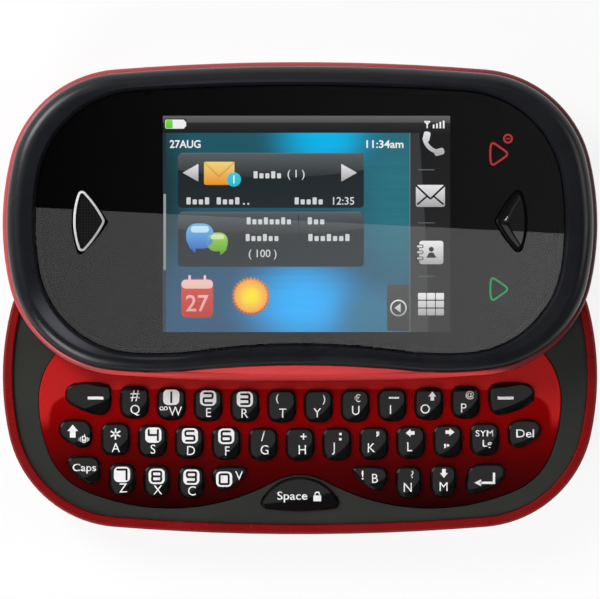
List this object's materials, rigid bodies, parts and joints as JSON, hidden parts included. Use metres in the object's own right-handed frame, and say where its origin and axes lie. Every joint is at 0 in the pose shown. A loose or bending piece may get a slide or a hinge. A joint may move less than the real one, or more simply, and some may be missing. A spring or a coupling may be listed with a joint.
{
  "type": "slider phone",
  "caption": "Landscape side-slider phone, open: upper half with a display slides up over a full letter keyboard.",
  "frame": {"origin": "On the back face, below the middle of the base half. The phone lies on its back.", "axes": "+X along the phone's length to the right of the display, +Y towards the edge that the upper half slides out to, +Z out of the display. The rest pose is slid fully open."},
  "size_m": [0.1014, 0.0806, 0.0162],
  "materials": {
    "red_gloss": "gloss",
    "red_plate": "gloss",
    "dark_tray": "satin",
    "dark_bezel": "satin",
    "black_glass": "gloss",
    "display": "gloss",
    "chrome_trim": "polished",
    "mesh": "matt",
    "key_black": "gloss",
    "cover_dark": "matt",
    "battery_label": "matt",
    "board_green": "satin",
    "steel": "brushed",
    "steel_guide": "brushed",
    "spring_steel": "bright",
    "flex_amber": "satin",
    "silicone": "matt",
    "camera_black": "gloss",
    "jack_black": "matt",
    "steel_socket": "bright",
    "speaker_black": "matt",
    "screw_steel": "dark"
  },
  "bodies": {
    "base": {"base_shell": "red_gloss", "battery": "battery_label", "camera_module": "camera_black", "casing_screws": "screw_steel", "flex_cable": "flex_amber", "headset_jack": "jack_black", "key_mat": "silicone", "keypad_plate": "red_plate", "keypad_tray": "dark_tray", "loudspeaker": "speaker_black", "main_board": "board_green", "slide_guide": "steel_guide", "slide_springs": "spring_steel", "usb_socket": "steel_socket"},
    "slider": {"display_module": "display", "earpiece_mesh": "mesh", "earpiece_trim": "chrome_trim", "front_bezel": "dark_bezel", "front_window": "black_glass", "slide_plate": "steel", "slider_board": "board_green", "slider_rim": "red_gloss"},
    "nav_key": {"nav_key": "key_black"},
    "volume_key": {"volume_key": "dark_bezel"},
    "battery_cover": {"battery_cover": "cover_dark"},
    "key_soft_left": {"key_soft_left": "key_black"},
    "key_q": {"key_q": "key_black"},
    "key_w": {"key_w": "key_black"},
    "key_e": {"key_e": "key_black"},
    "key_r": {"key_r": "key_black"},
    "key_t": {"key_t": "key_black"},
    "key_y": {"key_y": "key_black"},
    "key_u": {"key_u": "key_black"},
    "key_i": {"key_i": "key_black"},
    "key_o": {"key_o": "key_black"},
    "key_p": {"key_p": "key_black"},
    "key_soft_right": {"key_soft_right": "key_black"},
    "key_shift": {"key_shift": "key_black"},
    "key_a": {"key_a": "key_black"},
    "key_s": {"key_s": "key_black"},
    "key_d": {"key_d": "key_black"},
    "key_f": {"key_f": "key_black"},
    "key_g": {"key_g": "key_black"},
    "key_h": {"key_h": "key_black"},
    "key_j": {"key_j": "key_black"},
    "key_k": {"key_k": "key_black"},
    "key_l": {"key_l": "key_black"},
    "key_comma": {"key_comma": "key_black"},
    "key_symbol": {"key_symbol": "key_black"},
    "key_delete": {"key_delete": "key_black"},
    "key_caps": {"key_caps": "key_black"},
    "key_z": {"key_z": "key_black"},
    "key_x": {"key_x": "key_black"},
    "key_c": {"key_c": "key_black"},
    "key_v": {"key_v": "key_black"},
    "key_space": {"key_space": "key_black"},
    "key_b": {"key_b": "key_black"},
    "key_n": {"key_n": "key_black"},
    "key_m": {"key_m": "key_black"},
    "key_enter": {"key_enter": "key_black"}
  },
  "joints": [
    {"name": "slide", "type": "slide", "parent": "base", "child": "slider", "axis": [0, -1, 0], "range_m": [0, 0.026], "deforming": ["slide_springs", "flex_cable"]},
    {"name": "press_select", "type": "slide", "parent": "slider", "child": "nav_key", "axis": [0, 0, -1], "range_m": [0, 0.0003], "stiffness_N_per_m": 60},
    {"name": "volume_tilt", "type": "hinge", "parent": "base", "child": "volume_key", "pos_m": [-0.022, 0.0246, 0.0044], "axis": [0, 0, 1], "range_deg": [-2.5, 2.5], "stiffness_Nm_per_rad": 0.002},
    {"name": "cover_lift", "type": "slide", "parent": "base", "child": "battery_cover", "axis": [0, 0, -1], "range_m": [0, 0.03]},
    {"name": "press_soft_left", "type": "slide", "parent": "base", "child": "key_soft_left", "axis": [0, 0, -1], "range_m": [0, 0.0004], "stiffness_N_per_m": 60},
    {"name": "press_q", "type": "slide", "parent": "base", "child": "key_q", "axis": [0, 0, -1], "range_m": [0, 0.0004], "stiffness_N_per_m": 60},
    {"name": "press_w", "type": "slide", "parent": "base", "child": "key_w", "axis": [0, 0, -1], "range_m": [0, 0.0004], "stiffness_N_per_m": 60},
    {"name": "press_e", "type": "slide", "parent": "base", "child": "key_e", "axis": [0, 0, -1], "range_m": [0, 0.0004], "stiffness_N_per_m": 60},
    {"name": "press_r", "type": "slide", "parent": "base", "child": "key_r", "axis": [0, 0, -1], "range_m": [0, 0.0004], "stiffness_N_per_m": 60},
    {"name": "press_t", "type": "slide", "parent": "base", "child": "key_t", "axis": [0, 0, -1], "range_m": [0, 0.0004], "stiffness_N_per_m": 60},
    {"name": "press_y", "type": "slide", "parent": "base", "child": "key_y", "axis": [0, 0, -1], "range_m": [0, 0.0004], "stiffness_N_per_m": 60},
    {"name": "press_u", "type": "slide", "parent": "base", "child": "key_u", "axis": [0, 0, -1], "range_m": [0, 0.0004], "stiffness_N_per_m": 60},
    {"name": "press_i", "type": "slide", "parent": "base", "child": "key_i", "axis": [0, 0, -1], "range_m": [0, 0.0004], "stiffness_N_per_m": 60},
    {"name": "press_o", "type": "slide", "parent": "base", "child": "key_o", "axis": [0, 0, -1], "range_m": [0, 0.0004], "stiffness_N_per_m": 60},
    {"name": "press_p", "type": "slide", "parent": "base", "child": "key_p", "axis": [0, 0, -1], "range_m": [0, 0.0004], "stiffness_N_per_m": 60},
    {"name": "press_soft_right", "type": "slide", "parent": "base", "child": "key_soft_right", "axis": [0, 0, -1], "range_m": [0, 0.0004], "stiffness_N_per_m": 60},
    {"name": "press_shift", "type": "slide", "parent": "base", "child": "key_shift", "axis": [0, 0, -1], "range_m": [0, 0.0004], "stiffness_N_per_m": 60},
    {"name": "press_a", "type": "slide", "parent": "base", "child": "key_a", "axis": [0, 0, -1], "range_m": [0, 0.0004], "stiffness_N_per_m": 60},
    {"name": "press_s", "type": "slide", "parent": "base", "child": "key_s", "axis": [0, 0, -1], "range_m": [0, 0.0004], "stiffness_N_per_m": 60},
    {"name": "press_d", "type": "slide", "parent": "base", "child": "key_d", "axis": [0, 0, -1], "range_m": [0, 0.0004], "stiffness_N_per_m": 60},
    {"name": "press_f", "type": "slide", "parent": "base", "child": "key_f", "axis": [0, 0, -1], "range_m": [0, 0.0004], "stiffness_N_per_m": 60},
    {"name": "press_g", "type": "slide", "parent": "base", "child": "key_g", "axis": [0, 0, -1], "range_m": [0, 0.0004], "stiffness_N_per_m": 60},
    {"name": "press_h", "type": "slide", "parent": "base", "child": "key_h", "axis": [0, 0, -1], "range_m": [0, 0.0004], "stiffness_N_per_m": 60},
    {"name": "press_j", "type": "slide", "parent": "base", "child": "key_j", "axis": [0, 0, -1], "range_m": [0, 0.0004], "stiffness_N_per_m": 60},
    {"name": "press_k", "type": "slide", "parent": "base", "child": "key_k", "axis": [0, 0, -1], "range_m": [0, 0.0004], "stiffness_N_per_m": 60},
    {"name": "press_l", "type": "slide", "parent": "base", "child": "key_l", "axis": [0, 0, -1], "range_m": [0, 0.0004], "stiffness_N_per_m": 60},
    {"name": "press_comma", "type": "slide", "parent": "base", "child": "key_comma", "axis": [0, 0, -1], "range_m": [0, 0.0004], "stiffness_N_per_m": 60},
    {"name": "press_symbol", "type": "slide", "parent": "base", "child": "key_symbol", "axis": [0, 0, -1], "range_m": [0, 0.0004], "stiffness_N_per_m": 60},
    {"name": "press_delete", "type": "slide", "parent": "base", "child": "key_delete", "axis": [0, 0, -1], "range_m": [0, 0.0004], "stiffness_N_per_m": 60},
    {"name": "press_caps", "type": "slide", "parent": "base", "child": "key_caps", "axis": [0, 0, -1], "range_m": [0, 0.0004], "stiffness_N_per_m": 60},
    {"name": "press_z", "type": "slide", "parent": "base", "child": "key_z", "axis": [0, 0, -1], "range_m": [0, 0.0004], "stiffness_N_per_m": 60},
    {"name": "press_x", "type": "slide", "parent": "base", "child": "key_x", "axis": [0, 0, -1], "range_m": [0, 0.0004], "stiffness_N_per_m": 60},
    {"name": "press_c", "type": "slide", "parent": "base", "child": "key_c", "axis": [0, 0, -1], "range_m": [0, 0.0004], "stiffness_N_per_m": 60},
    {"name": "press_v", "type": "slide", "parent": "base", "child": "key_v", "axis": [0, 0, -1], "range_m": [0, 0.0004], "stiffness_N_per_m": 60},
    {"name": "press_space", "type": "slide", "parent": "base", "child": "key_space", "axis": [0, 0, -1], "range_m": [0, 0.0004], "stiffness_N_per_m": 60},
    {"name": "press_b", "type": "slide", "parent": "base", "child": "key_b", "axis": [0, 0, -1], "range_m": [0, 0.0004], "stiffness_N_per_m": 60},
    {"name": "press_n", "type": "slide", "parent": "base", "child": "key_n", "axis": [0, 0, -1], "range_m": [0, 0.0004], "stiffness_N_per_m": 60},
    {"name": "press_m", "type": "slide", "parent": "base", "child": "key_m", "axis": [0, 0, -1], "range_m": [0, 0.0004], "stiffness_N_per_m": 60},
    {"name": "press_enter", "type": "slide", "parent": "base", "child": "key_enter", "axis": [0, 0, -1], "range_m": [0, 0.0004], "stiffness_N_per_m": 60}
  ]
}
